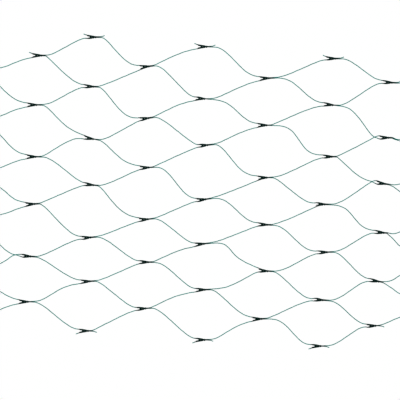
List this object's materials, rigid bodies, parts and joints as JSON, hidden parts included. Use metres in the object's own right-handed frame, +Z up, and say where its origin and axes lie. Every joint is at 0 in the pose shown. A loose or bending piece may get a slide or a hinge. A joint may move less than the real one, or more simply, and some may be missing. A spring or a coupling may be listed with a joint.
{
  "type": "knotted twine net",
  "caption": "Light green knotted twine net with diamond meshes and edge loops, for plants to climb or to hang as a screen.",
  "frame": {"origin": "the bend of the top loop of the left edge, on the twine's centre line, where the net is hooked up", "axes": "+X across the courses to the right edge, -Y towards the viewer, +Z up along the columns of knots"},
  "size_m": [0.7587, 0.0032, 0.5043],
  "materials": {
    "net_twine": "satin twisted polyethylene twine",
    "knot_twine": "satin twisted polyethylene twine drawn up tight"
  },
  "bodies": {
    "course_1": {"left_edge_loops": "net_twine", "knots_1": "knot_twine", "cut_ends_1": "net_twine"},
    "course_2": {"bends_2": "net_twine", "rising_legs_2": "net_twine", "falling_legs_2": "net_twine", "knots_2": "knot_twine", "cut_ends_2": "net_twine"},
    "course_3": {"bends_3": "net_twine", "rising_legs_3": "net_twine", "falling_legs_3": "net_twine", "knots_3": "knot_twine", "cut_ends_3": "net_twine"},
    "course_4": {"bends_4": "net_twine", "rising_legs_4": "net_twine", "falling_legs_4": "net_twine", "knots_4": "knot_twine", "cut_ends_4": "net_twine"},
    "course_5": {"bends_5": "net_twine", "rising_legs_5": "net_twine", "falling_legs_5": "net_twine", "knots_5": "knot_twine", "cut_ends_5": "net_twine"},
    "course_6": {"bends_6": "net_twine", "rising_legs_6": "net_twine", "falling_legs_6": "net_twine", "knots_6": "knot_twine", "cut_ends_6": "net_twine"},
    "course_7": {"bends_7": "net_twine", "rising_legs_7": "net_twine", "falling_legs_7": "net_twine", "knots_7": "knot_twine", "cut_ends_7": "net_twine"},
    "course_8": {"bends_8": "net_twine", "right_edge_loops": "net_twine", "cut_ends_8": "net_twine"}
  },
  "joints": [
    {"name": "fold_1", "type": "hinge", "parent": "course_1", "child": "course_2", "pos_m": [0.09396, 0, 0.027], "axis": [0.0541, 0, 0.9985], "range_deg": [-150, 150], "stiffness_Nm_per_rad": 0.0015, "deforming": ["bends_2"]},
    {"name": "fold_2", "type": "hinge", "parent": "course_2", "child": "course_3", "pos_m": [0.18114, 0, 0.0564], "axis": [-0.0262, 0, -0.9997], "range_deg": [-150, 150], "stiffness_Nm_per_rad": 0.0015, "deforming": ["bends_3"]},
    {"name": "fold_3", "type": "hinge", "parent": "course_3", "child": "course_4", "pos_m": [0.26619, 0, 0.0089], "axis": [0.007, 0, 1], "range_deg": [-150, 150], "stiffness_Nm_per_rad": 0.0015, "deforming": ["bends_4"]},
    {"name": "fold_4", "type": "hinge", "parent": "course_4", "child": "course_5", "pos_m": [0.35852, 0, 0.0411], "axis": [-0.007, 0, -1], "range_deg": [-150, 150], "stiffness_Nm_per_rad": 0.0015, "deforming": ["bends_5"]},
    {"name": "fold_5", "type": "hinge", "parent": "course_5", "child": "course_6", "pos_m": [0.45819, 0, -0.0096], "axis": [0.0209, 0, 0.9998], "range_deg": [-150, 150], "stiffness_Nm_per_rad": 0.0015, "deforming": ["bends_6"]},
    {"name": "fold_6", "type": "hinge", "parent": "course_6", "child": "course_7", "pos_m": [0.5641, 0, 0.0221], "axis": [-0.0506, 0, -0.9987], "range_deg": [-150, 150], "stiffness_Nm_per_rad": 0.0015, "deforming": ["bends_7"]},
    {"name": "fold_7", "type": "hinge", "parent": "course_7", "child": "course_8", "pos_m": [0.65507, 0, -0.0206], "axis": [0.068, 0, 0.9977], "range_deg": [-150, 150], "stiffness_Nm_per_rad": 0.0015, "deforming": ["bends_8"]}
  ]
}
